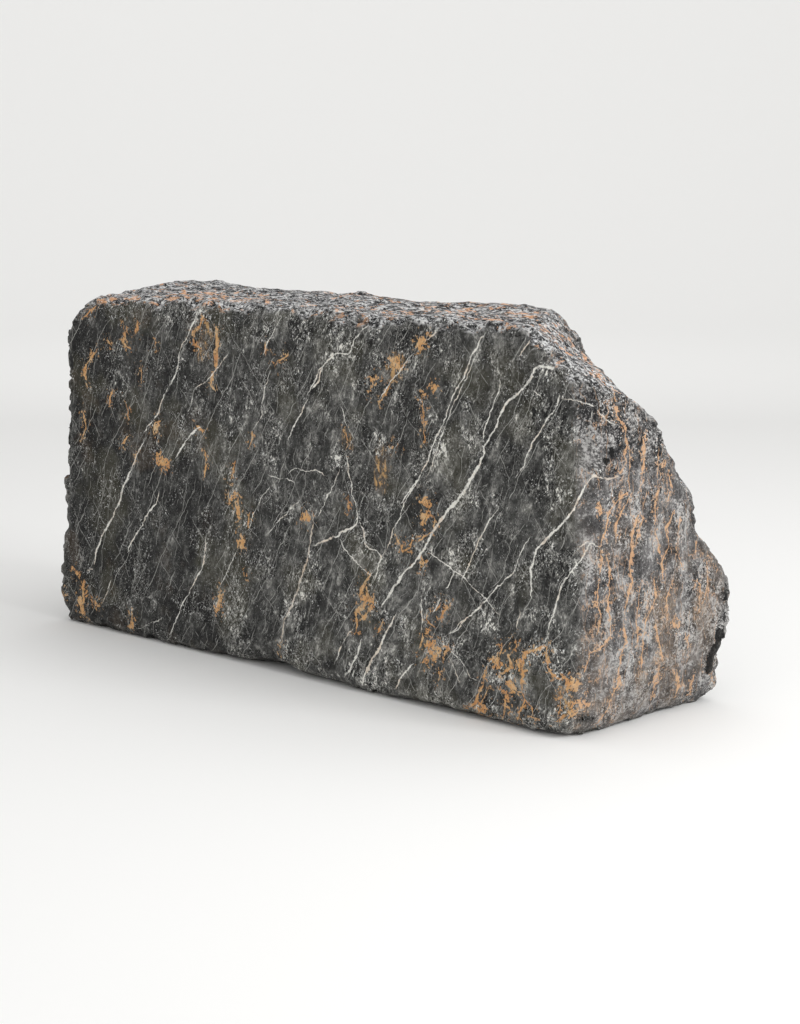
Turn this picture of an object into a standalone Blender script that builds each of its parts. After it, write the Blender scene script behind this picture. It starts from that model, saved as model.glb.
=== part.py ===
# A quarried marble block: one stone, roughly squared, with its far upper corner broken away.
# It stands on its flat underside. X runs along its length, Y from front to back, Z up, in metres.

import bpy
import bmesh
from mathutils import Vector, noise

HEIGHT = 1.17
THICKNESS = 0.69
NET_STEP = 0.022           # cell of the even net that the relief is raised on
MOST_TRIANGLES = 9400      # what is left once the flat stretches are thinned out
SAW_SLACK = 0.002          # anything lower than this belongs to the sawn underside
STONE_COLOUR = (0.085, 0.085, 0.078, 1.0)

# The left side from the ground up, at the front face and at the back face: (x, z)
LEFT_FRONT = (
    (-1.190, 0.000),
    (-1.215, 0.080),
    (-1.208, 0.180),
    (-1.165, 0.400),
    (-1.180, 0.510),
    (-1.138, 0.670),
    (-1.142, 1.040),
    (-1.062, 1.110),
    (-0.975, 1.160),
    (-0.880, 1.173),
)
LEFT_BACK = (
    (-1.170, 0.000),
    (-1.190, 0.080),
    (-1.185, 0.200),
    (-1.150, 0.400),
    (-1.160, 0.520),
    (-1.185, 0.700),
    (-1.195, 1.080),
    (-1.175, 1.160),
    (-1.100, 1.184),
    (-0.900, 1.177),
)
CORNER_DEPTH = 0.22        # depth at which the left side has its back shape

# Across the thickness: (depth from the front, x where the break leaves the top, z where it
# meets the right end, x of the right end up there and low down, how bold the ledges are)
STATIONS = (
    (0.000, 0.955, 1.020, 1.125, 1.160, 0.10),
    (0.055, 0.935, 1.010, 1.172, 1.180, 0.05),
    (0.145, 0.875, 0.992, 1.192, 1.192, -0.20),
    (0.295, 0.765, 0.935, 1.196, 1.196, -0.30),
    (0.445, 0.680, 0.725, 1.190, 1.196, 0.35),
    (0.565, 0.595, 0.500, 1.190, 1.200, 0.80),
    (0.690, 0.505, 0.385, 1.200, 1.215, 0.95),
)

# Ledges down the break: (share of the way down, how far they stand out as a share of its length)
LEDGES = (
    (0.10, 0.012),
    (0.20, -0.010),
    (0.36, 0.030),
    (0.48, 0.062),
    (0.58, 0.072),
    (0.66, 0.046),
    (0.77, 0.050),
    (0.84, -0.020),
    (0.93, -0.012),
)

END_WAIST = 0.26           # height of the right end where its foot starts to draw in
FOOT_SETBACK = 0.035       # how far it has drawn in at the worn lower edge,
FOOT_RISE = 0.035          # how high that edge is, and how far it runs under
FOOT_RUN = 0.070

# How high the front's lower edge is worn along the block: (x, height)
WORN_EDGE = (
    (-1.25, 0.004),
    (-0.60, 0.006),
    (-0.26, 0.020),
    (-0.13, 0.044),
    (-0.04, 0.040),
    (0.03, 0.020),
    (0.20, 0.022),
    (0.30, 0.006),
    (0.60, 0.022),
    (1.00, 0.014),
    (1.13, 0.034),
    (1.25, 0.050),
)
WORN_SLOPE = 0.45          # rise of the worn surface for each metre that it comes forward

# Shell-shaped chips out of the edges: (x, y, z, radius) of the ball that fits each hollow
CHIPS = (
    (1.240, 0.355, 0.135, 0.080),
    (-1.215, -0.400, 0.960, 0.090),
    (1.220, -0.420, 0.560, 0.100),
    (0.640, 0.440, 1.200, 0.150),
    (-0.450, 0.480, 1.290, 0.200),
    (-1.290, 0.430, 0.520, 0.210),
    (0.300, 0.480, -0.080, 0.180),
    (-1.260, 0.100, 0.020, 0.120),
)


def clear_scene():
    for item in list(bpy.data.objects):
        bpy.data.objects.remove(item, do_unlink=True)


def step_between(low, high, value):
    share = min(max((value - low) / (high - low), 0.0), 1.0)
    return share * share * (3.0 - 2.0 * share)


def outline_at(station):
    """The block's outline in the XZ plane at one depth, from the lower left corner clockwise."""
    depth, top_x, end_z, upper_x, lower_x, boldness = station
    start = Vector((top_x, HEIGHT))
    finish = Vector((upper_x, end_z))
    down = finish - start
    outward = boldness * Vector((-down.y, down.x))
    turn = min(depth / CORNER_DEPTH, 1.0)
    points = [Vector(f).lerp(Vector(b), turn) for f, b in zip(LEFT_FRONT, LEFT_BACK)]
    points += [Vector((top_x * share, HEIGHT)) for share in (-0.3, 0.2, 0.6)]
    points.append(start)
    points += [start + share * down + rise * outward for share, rise in LEDGES]
    points.append(finish)
    points.append(Vector((lower_x, END_WAIST)))
    points.append(Vector((lower_x - FOOT_SETBACK, FOOT_RISE)))
    points.append(Vector((lower_x - FOOT_SETBACK - FOOT_RUN, 0.0)))
    return points


def make_core():
    """The plain form: the outlines joined front to back, and closed at both faces."""
    mesh = bmesh.new()
    rings = []
    for station in STATIONS:
        y = station[0] - THICKNESS / 2
        rings.append([mesh.verts.new((p.x, y, p.y)) for p in outline_at(station)])
    for near, far in zip(rings, rings[1:]):
        for i in range(len(near)):
            j = (i + 1) % len(near)
            mesh.faces.new((near[i], near[j], far[j], far[i]))
    mesh.faces.new(rings[0])
    mesh.faces.new(rings[-1])
    bmesh.ops.triangulate(mesh, faces=mesh.faces[:])
    bmesh.ops.recalc_face_normals(mesh, faces=mesh.faces[:])
    core = bpy.data.meshes.new("core")
    mesh.to_mesh(core)
    mesh.free()
    return core


def with_modifier(mesh, kind, **settings):
    """The mesh that one modifier makes of another."""
    helper = bpy.data.objects.new("helper", mesh)
    bpy.context.collection.objects.link(helper)
    modifier = helper.modifiers.new(kind.lower(), kind)
    for name, value in settings.items():
        setattr(modifier, name, value)
    graph = bpy.context.evaluated_depsgraph_get()
    result = bpy.data.meshes.new_from_object(helper.evaluated_get(graph))
    bpy.data.objects.remove(helper, do_unlink=True)
    bpy.data.meshes.remove(mesh)
    return result


def lumps(point, scale, depth):
    """Rounded lumps and hollows, from -1 to 1. scale is how many fit in a metre on each axis."""
    spot = Vector(a * b for a, b in zip(point, scale))
    return noise.fractal(spot, 1.0, 2.0, depth, noise_basis="PERLIN_NEW")


def shelves(value, count):
    """Turns a smooth height into flat shelves with steep risers."""
    scaled = value * count
    base = scaled // 1.0
    return (base + step_between(0.35, 0.75, scaled - base)) / count


def relief(point, normal):
    """How far the surface stands out at a point, in metres."""
    top = step_between(0.55, 0.90, normal.z)
    side = step_between(0.55, 0.90, abs(normal.x))
    front = step_between(0.60, 0.90, -normal.y)
    back = step_between(0.60, 0.90, normal.y)
    edge = step_between(0.04, 0.24, 1.0 - max(abs(c) for c in normal))
    broken = edge * step_between(0.60, 0.80, point.x) * step_between(0.15, 0.50, point.z)

    height = 0.006 * lumps(point, (1.6, 1.6, 1.6), 2)
    height += top * 0.022 * shelves(lumps(point, (2.6, 4.2, 1.0), 3), 3)
    height += top * 0.008 * lumps(point, (9.0, 12.0, 4.0), 2)
    height += side * 0.014 * lumps(point, (1.0, 9.0, 1.6), 2)
    height += side * 0.010 * lumps(point, (3.0, 5.0, 5.0), 2)
    height += front * 0.005 * lumps(point, (4.5, 1.0, 2.2), 2)
    height += back * 0.030 * shelves(lumps(point, (2.2, 1.0, 2.8), 3), 3)
    height += back * 0.008 * lumps(point, (8.0, 8.0, 8.0), 2)
    height += broken * 0.013 * lumps(point, (7.0, 6.0, 10.0), 3)
    height -= edge * 0.016 * max(0.0, 0.15 + lumps(point, (8.0, 8.0, 8.0), 2))
    return height


def worn_height(x):
    """How high the front's lower edge is worn at one place along the block."""
    for (x0, h0), (x1, h1) in zip(WORN_EDGE, WORN_EDGE[1:]):
        if x <= x1:
            return h0 + (h1 - h0) * (x - x0) / (x1 - x0)
    return WORN_EDGE[-1][1]


def knock_off(point):
    """The point moved in to where the worn front edge and the chips have left the surface."""
    floor = worn_height(point.x) - WORN_SLOPE * (point.y + THICKNESS / 2)
    point.z = max(point.z, floor, 0.0)
    for x, y, z, radius in CHIPS:
        centre = Vector((x, y, z))
        reach = radius * (1.0 + 0.12 * lumps(point, (9.0, 9.0, 9.0), 2))
        away = point - centre
        if away.length < reach:
            point = centre + reach * away.normalized()
    return point


def carve(mesh):
    """Raises the relief, saws the underside flat and knocks the chips off."""
    places = [(v.co.copy(), v.normal.copy()) for v in mesh.vertices]
    for vertex, (point, normal) in zip(mesh.vertices, places):
        if normal.z < -0.85:
            point.z = 0.0
        else:
            point += relief(point, normal) * normal
        vertex.co = knock_off(point)


def stand(mesh):
    """Sets the stone flat on its underside, with the origin under the middle of its box."""
    for vertex in mesh.vertices:
        if vertex.co.z < SAW_SLACK:
            vertex.co.z = 0.0
    middle = Vector((0.0, 0.0, 0.0))
    for axis in (0, 1):
        values = [v.co[axis] for v in mesh.vertices]
        middle[axis] = (min(values) + max(values)) / 2
    for vertex in mesh.vertices:
        vertex.co -= middle
    print("origin moved by", [round(c, 4) for c in middle])


def stone_material():
    material = bpy.data.materials.new("dark marble")
    material.use_nodes = True
    shader = material.node_tree.nodes["Principled BSDF"]
    shader.inputs["Base Color"].default_value = STONE_COLOUR
    shader.inputs["Roughness"].default_value = 0.62
    shader.inputs["Metallic"].default_value = 0.0
    return material


def make_block():
    mesh = with_modifier(make_core(), "REMESH", mode="VOXEL", voxel_size=NET_STEP)
    carve(mesh)
    mesh.calc_loop_triangles()
    mesh = with_modifier(mesh, "DECIMATE", ratio=MOST_TRIANGLES / len(mesh.loop_triangles))
    stand(mesh)
    mesh.name = "marble_block"
    mesh.materials.clear()
    mesh.materials.append(stone_material())
    block = bpy.data.objects.new("marble_block", mesh)
    bpy.context.collection.objects.link(block)
    mesh.shade_flat()
    return block


clear_scene()
make_block()
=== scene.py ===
import math
from types import SimpleNamespace

import bmesh
import bpy
import numpy as np
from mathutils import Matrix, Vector
from mathutils.bvhtree import BVHTree


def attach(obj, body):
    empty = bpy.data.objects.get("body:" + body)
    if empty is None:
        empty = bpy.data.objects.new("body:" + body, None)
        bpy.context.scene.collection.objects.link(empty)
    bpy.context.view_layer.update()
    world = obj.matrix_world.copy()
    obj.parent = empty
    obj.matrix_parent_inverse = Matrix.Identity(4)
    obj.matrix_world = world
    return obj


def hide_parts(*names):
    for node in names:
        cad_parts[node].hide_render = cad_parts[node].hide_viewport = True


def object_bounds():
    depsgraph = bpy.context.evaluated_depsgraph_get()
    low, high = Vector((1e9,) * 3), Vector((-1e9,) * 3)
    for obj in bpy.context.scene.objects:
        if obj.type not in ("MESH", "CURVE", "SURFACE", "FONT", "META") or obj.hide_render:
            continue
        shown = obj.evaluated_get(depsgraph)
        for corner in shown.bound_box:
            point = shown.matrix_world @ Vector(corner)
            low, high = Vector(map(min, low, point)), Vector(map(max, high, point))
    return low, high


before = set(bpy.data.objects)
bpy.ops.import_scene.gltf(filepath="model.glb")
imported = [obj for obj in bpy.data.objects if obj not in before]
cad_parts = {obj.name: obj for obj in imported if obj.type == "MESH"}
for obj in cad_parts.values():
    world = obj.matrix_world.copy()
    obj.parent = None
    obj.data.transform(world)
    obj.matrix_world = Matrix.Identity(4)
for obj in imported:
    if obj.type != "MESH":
        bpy.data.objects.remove(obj)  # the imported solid, at rest in its own frame
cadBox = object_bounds()
print("frame loaded", [round(side, 4) for side in cadBox[1] - cadBox[0]])

camera = {
    "place": (4.7360, -4.9187, 1.6700),
    "turn": 43.03,  # degrees to the left of +Y
    "dip": 9.81,  # degrees below level
    "focal": 2097.0,  # pixels, in a frame 800 wide and 1024 high
    "width": 800,
    "height": 1024,
    "sensor": 36.0,  # millimetres
    "farthest": 200.0,
}

studio = {
    "worldColour": (1.0, 0.995, 0.985),
    "worldStrength": 0.72,
    "floorRadius": 13.0,
    "sweepRadius": 20.0,
    "sweepHeight": 7.0,
    "sweepSteps": 12,
    "around": 72,
    "floorTone": (0.95, 0.95, 0.943),
    "floorRoughness": 0.9,
    "floorSpecular": 0.2,
    # name: place, aim, side in metres, watts
    "lamps": {
        "keyRight": ((6.5, 0.4, 4.4), (0.6, 0.0, 0.5), 3.0, 235.0),
        "softTop": ((0.2, 0.8, 6.2), (0.0, 0.0, 0.6), 5.0, 50.0),
        "backWash": ((-3.4, 3.7, 8.0), (-11.5, 12.3, 9.6), 6.0, 300.0),
    },
}


def cameraAxes():
    turn = math.radians(camera["turn"])
    dip = math.radians(camera["dip"])
    ahead = Vector((-math.sin(turn) * math.cos(dip), math.cos(turn) * math.cos(dip), -math.sin(dip)))
    right = Vector((math.cos(turn), math.sin(turn), 0.0))
    return ahead, right, right.cross(ahead)


def makeCamera():
    data = bpy.data.cameras.new("camera")
    data.sensor_fit = "AUTO"
    data.sensor_width = camera["sensor"]
    data.lens = camera["sensor"] * camera["focal"] / camera["height"]
    data.clip_end = camera["farthest"]
    made = bpy.data.objects.new("camera", data)
    made.location = camera["place"]
    made.rotation_euler = (math.radians(90.0 - camera["dip"]), 0.0, math.radians(camera["turn"]))
    bpy.context.scene.collection.objects.link(made)
    bpy.context.scene.camera = made


def makeLamps():
    for name, (place, aim, side, watts) in studio["lamps"].items():
        data = bpy.data.lights.new(name, "AREA")
        data.shape = "SQUARE"
        data.size = side
        data.energy = watts
        lamp = bpy.data.objects.new(name, data)
        lamp.location = place
        lamp.rotation_euler = (Vector(aim) - Vector(place)).to_track_quat("-Z", "Y").to_euler()
        bpy.context.scene.collection.objects.link(lamp)
    world = bpy.data.worlds.new("studio")
    world.use_nodes = True
    air = world.node_tree.nodes["Background"]
    air.inputs["Color"].default_value = (*studio["worldColour"], 1.0)
    air.inputs["Strength"].default_value = studio["worldStrength"]
    bpy.context.scene.world = world
    bpy.context.scene.view_settings.view_transform = "Standard"


def makeFloor():
    # a flat round floor whose rim sweeps up, so that no horizon line shows
    rings = [(0.02, 0.0), (studio["floorRadius"] * 0.5, 0.0), (studio["floorRadius"], 0.0)]
    reach = studio["sweepRadius"] - studio["floorRadius"]
    for step in range(1, studio["sweepSteps"] + 1):
        angle = math.radians(90.0) * step / studio["sweepSteps"]
        height = studio["sweepHeight"] * (1.0 - math.cos(angle))
        rings.append((studio["floorRadius"] + reach * math.sin(angle), height))
    around = studio["around"]
    shell = bmesh.new()
    rows = []
    for radius, height in rings:
        row = []
        for step in range(around):
            angle = math.tau * step / around
            row.append(shell.verts.new((radius * math.cos(angle), radius * math.sin(angle), height)))
        rows.append(row)
    for inner, outer in zip(rows, rows[1:]):
        for step in range(around):
            after = (step + 1) % around
            shell.faces.new((inner[step], outer[step], outer[after], inner[after]))
    shell.faces.new(rows[0])
    for face in shell.faces:
        face.smooth = True
    mesh = bpy.data.meshes.new("studioFloor")
    shell.to_mesh(mesh)
    shell.free()
    floor = bpy.data.objects.new("studioFloor", mesh)
    bpy.context.scene.collection.objects.link(floor)
    paint = bpy.data.materials.new("palePaper")
    paint.use_nodes = True
    surface = paint.node_tree.nodes["Principled BSDF"]
    surface.inputs["Base Color"].default_value = (*studio["floorTone"], 1.0)
    surface.inputs["Roughness"].default_value = studio["floorRoughness"]
    surface.inputs["Specular IOR Level"].default_value = studio["floorSpecular"]
    mesh.materials.append(paint)


makeCamera()
makeLamps()
makeFloor()
print("camera, lamps and floor made")


class Wire:
    # one output of a node tree; sums and products of wires add Math nodes
    def __init__(self, tree, socket=None):
        self.tree = tree
        self.socket = socket

    def node(self, kind, settings=None, sockets=None, out=0):
        made = self.tree.nodes.new(kind)
        for name, value in (settings or {}).items():
            if name == "stops":
                self.fillRamp(made.color_ramp, value)
            else:
                setattr(made, name, value)
        for name, value in (sockets or {}).items():
            if isinstance(value, Wire):
                self.tree.links.new(value.socket, made.inputs[name])
            else:
                made.inputs[name].default_value = value
        return Wire(self.tree, made.outputs[out])

    def fillRamp(self, ramp, stops):
        while len(ramp.elements) > 1:
            ramp.elements.remove(ramp.elements[-1])
        for index, (position, colour) in enumerate(stops):
            element = ramp.elements[0] if index == 0 else ramp.elements.new(position)
            element.position = position
            element.color = (*colour, 1.0)

    def sibling(self, out):
        return Wire(self.tree, self.socket.node.outputs[out])

    def maths(self, operation, *values):
        return self.node("ShaderNodeMath", {"operation": operation}, dict(enumerate(values)))

    def __add__(self, other):
        return self.maths("ADD", self, other)

    __radd__ = __add__

    def __sub__(self, other):
        return self.maths("SUBTRACT", self, other)

    def __rsub__(self, other):
        return self.maths("SUBTRACT", other, self)

    def __mul__(self, other):
        return self.maths("MULTIPLY", self, other)

    __rmul__ = __mul__

    def __truediv__(self, other):
        return self.maths("DIVIDE", self, other)

    def __abs__(self):
        return self.maths("ABSOLUTE", self)

    def least(self, other):
        return self.maths("MINIMUM", self, other)

    def most(self, other):
        return self.maths("MAXIMUM", self, other)

    def part(self):
        # what is left over past a whole number
        return self.maths("FRACT", self)

    def ease(self, low, high):
        # 0 at low, 1 at high, smooth between them; low may be the larger
        settings = {"interpolation_type": "SMOOTHSTEP"}
        return self.node("ShaderNodeMapRange", settings, {0: self, 1: low, 2: high})

    def span(self, low, high, start, end):
        return self.node("ShaderNodeMapRange", None, {0: self, 1: low, 2: high, 3: start, 4: end})

    def axis(self, letter):
        return self.node("ShaderNodeSeparateXYZ", None, {0: self}, letter)

    def vectorMaths(self, operation, *values, out=0):
        return self.node("ShaderNodeVectorMath", {"operation": operation}, dict(enumerate(values)), out)

    def turned(self, degrees, stretch):
        # the same place, for a pattern turned by these angles and stretched along its own axes
        angles = tuple(math.radians(angle) for angle in degrees)
        sockets = {"Vector": self, "Rotation": angles, "Scale": stretch}
        return self.node("ShaderNodeMapping", {"vector_type": "TEXTURE"}, sockets)

    def noise(self, scale, detail=2.0, roughness=0.5, out=0):
        sockets = {"Vector": self, "Scale": scale, "Detail": detail, "Roughness": roughness}
        return self.node("ShaderNodeTexNoise", None, sockets, out)

    def attribute(self, name, out="Fac"):
        # a value that the mesh carries
        return self.node("ShaderNodeAttribute", {"attribute_name": name}, None, out)

    def moved(self, scale, amount, detail=2.0):
        # this place pushed about by noise, by up to about half the amount
        push = self.vectorMaths("SUBTRACT", self.noise(scale, detail, out=1), (0.5, 0.5, 0.5))
        return self.vectorMaths("ADD", self, push.longer(amount))

    def longer(self, amount):
        # this vector times a number
        return self.node("ShaderNodeVectorMath", {"operation": "SCALE"}, {0: self, 3: amount})

    def tinted(self, colour, amount):
        # this colour, mixed towards another one
        settings = {"data_type": "RGBA", "blend_type": "MIX"}
        return self.node("ShaderNodeMix", settings, {0: amount, 6: self, 7: colour}, 2)


stone = {
    "node": "marble_block",
    "voxel": 0.0112,  # the fine mesh's step
    "mergeWithin": 0.00005,
    "relief": {
        "Soften Steps": 2,
        "Flake Height": 0.014,
        "Flake Scale": 11.0,
        "Flute Depth": 0.0075,
        "Flute Scale": 26.0,
        "Lump Height": 0.016,
        "Lump Scale": 13.0,
        "Face Ripple": 0.0035,
        "Chip Depth": 0.022,
        "Chip Scale": 27.0,
        "Back Roughness": 0.012,
        "Foot Chips": 0.032,
        "Grow": 0.005,
    },
    # how far a normal must lean before a side begins, and where that side is full
    "facing": {
        "top": (0.42, 0.76),
        "topSeen": (0.40, 0.70),
        "end": (0.40, 0.86),
        "left": (0.40, 0.80),
        "back": (0.30, 0.75),
        "front": (0.55, 0.90),
        "under": (0.30, 0.70),
    },
    "wearHeights": (0.0015, 0.0080),  # how far a worn edge stands out of its surroundings
    "flakeSteps": 7.0,
    # how many times a place or a normal is averaged with its neighbours
    "blurs": {"lift": 5, "wear": 3, "edges": 14, "crisp": 2},
}


def fineCopy():
    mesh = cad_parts[stone["node"]].data.copy()
    body = bmesh.new()
    body.from_mesh(mesh)
    bmesh.ops.remove_doubles(body, verts=body.verts, dist=stone["mergeWithin"])
    bmesh.ops.recalc_face_normals(body, faces=body.faces)
    body.to_mesh(mesh)
    body.free()
    mesh.materials.clear()
    piece = bpy.data.objects.new("marbleBlock", mesh)
    bpy.context.scene.collection.objects.link(piece)
    remesh = piece.modifiers.new("fineMesh", "REMESH")
    remesh.mode = "VOXEL"
    remesh.voxel_size = stone["voxel"]
    remesh.use_smooth_shade = True
    return piece


def reliefTree(material):
    tree = bpy.data.node_groups.new("stoneRelief", "GeometryNodeTree")
    face = tree.interface
    face.new_socket("Geometry", in_out="INPUT", socket_type="NodeSocketGeometry")
    for name, value in stone["relief"].items():
        kind = "NodeSocketInt" if isinstance(value, int) else "NodeSocketFloat"
        face.new_socket(name, in_out="INPUT", socket_type=kind).default_value = value
    face.new_socket("Geometry", in_out="OUTPUT", socket_type="NodeSocketGeometry")
    start = Wire(tree).node("NodeGroupInput")
    size = {name: start.sibling(name) for name in stone["relief"]}

    def blurred(value, times):
        sockets = {"Value": value, "Iterations": times}
        return start.node("GeometryNodeBlurAttribute", {"data_type": "FLOAT_VECTOR"}, sockets)

    def facing(lean, side):
        return lean.ease(*stone["facing"][side])

    # facets of the solid melt away first
    place = start.node("GeometryNodeInputPosition")
    sockets = {"Geometry": start, "Position": blurred(place, size["Soften Steps"])}
    shape = start.node("GeometryNodeSetPosition", None, sockets)

    # which way each spot faces, and where the edges are worn
    normal = start.node("GeometryNodeInputNormal")
    softNormal = blurred(normal, stone["blurs"]["lift"])
    across, along, up = (softNormal.axis(letter) for letter in "XYZ")
    top = facing(up, "top")
    end = facing(across, "end")
    left = facing(across * -1.0, "left")
    back = facing(along, "back")
    front = facing(along * -1.0, "front")
    under = facing(up * -1.0, "under")
    offset = start.vectorMaths("SUBTRACT", place, blurred(place, stone["blurs"]["edges"]))
    wearNormal = blurred(normal, stone["blurs"]["wear"])
    wear = start.vectorMaths("DOT_PRODUCT", offset, wearNormal, out=1).ease(*stone["wearHeights"])

    # broken flakes on top, in small steps
    flaky = place.moved(9.0, 0.05)
    height = flaky.noise(size["Flake Scale"], 4.0, 0.55) * stone["flakeSteps"]
    level = height.maths("FLOOR", height)
    step = (level + (height - level).ease(0.25, 0.75)) / stone["flakeSteps"]
    flakes = (step - 0.52) * size["Flake Height"] * 2.0 * top
    # upright drill marks and splits on the end
    upright = start.vectorMaths("MULTIPLY", place.moved(5.0, 0.03), (1.0, 1.0, 0.14))
    ribs = upright.noise(size["Flute Scale"], 3.0, 0.6)
    flutes = (abs(ribs - 0.5) * 3.2 - 0.30) * size["Flute Depth"] * (end + left * 0.7)
    pits = place.noise(38.0, 3.0, 0.6).ease(0.60, 0.42) - 0.6
    lumps = abs(place.moved(8.0, 0.03).noise(size["Lump Scale"], 4.0, 0.6) - 0.5) * 4.0 - 0.35
    flutes = flutes + (pits * size["Flute Depth"] * 0.6 + lumps * size["Lump Height"]) * end
    ripple = (place.noise(7.0, 4.0, 0.5) - 0.55) * size["Face Ripple"] * 2.0 * front
    chip = place.noise(size["Chip Scale"], 3.0, 0.6).ease(0.46, 0.58)
    chips = chip * wear * size["Chip Depth"] * -1.0 * (1.0 - under)
    rough = (place.noise(13.0, 5.0, 0.6) - 0.53) * size["Back Roughness"] * (back + left * 0.8) * 2.0
    lift = (flakes + flutes + ripple + chips + rough + size["Grow"]) * (1.0 - under)
    sockets = {"Geometry": shape, "Offset": softNormal.longer(lift)}
    shape = start.node("GeometryNodeSetPosition", None, sockets)
    # nothing goes below the floor, and bits are missing along the foot
    spot = start.node("GeometryNodeInputPosition")
    foot = (spot.noise(15.0, 4.0, 0.65) - 0.47).most(0.0) * wear * spot.axis("Z").ease(0.12, 0.01)
    height = spot.axis("Z").most(0.0) + foot * size["Foot Chips"] * 6.0
    grounded = start.node("ShaderNodeCombineXYZ", None, {0: spot.axis("X"), 1: spot.axis("Y"), 2: height})
    shape = start.node("GeometryNodeSetPosition", None, {"Geometry": shape, "Position": grounded})

    # the marble reads these from the mesh
    topSeen = facing(blurred(normal, stone["blurs"]["crisp"]).axis("Z"), "topSeen")
    sides = start.node("ShaderNodeCombineXYZ", None, {0: topSeen, 1: end, 2: wear})
    settings = {"data_type": "FLOAT_VECTOR", "domain": "POINT"}
    sockets = {"Geometry": shape, "Name": "sides", "Value": sides}
    shape = start.node("GeometryNodeStoreNamedAttribute", settings, sockets)
    shape = start.node("GeometryNodeRealizeInstances", None, {"Geometry": shape})
    shape = start.node("GeometryNodeSetMaterial", None, {"Geometry": shape, "Material": material})
    finish = tree.nodes.new("NodeGroupOutput")
    tree.links.new(shape.socket, finish.inputs["Geometry"])
    return tree


def carveRelief(piece, material):
    tree = reliefTree(material)
    modifier = piece.modifiers.new("stoneRelief", "NODES")
    modifier.node_group = tree
    for item in tree.interface.items_tree:
        if item.item_type == "SOCKET" and item.in_out == "INPUT" and item.name in stone["relief"]:
            modifier[item.identifier] = stone["relief"][item.name]
    graph = bpy.context.evaluated_depsgraph_get()
    shaped = piece.evaluated_get(graph)
    mesh = bpy.data.meshes.new_from_object(shaped, preserve_all_data_layers=True, depsgraph=graph)
    piece.modifiers.clear()
    piece.data = mesh
    return piece


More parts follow.
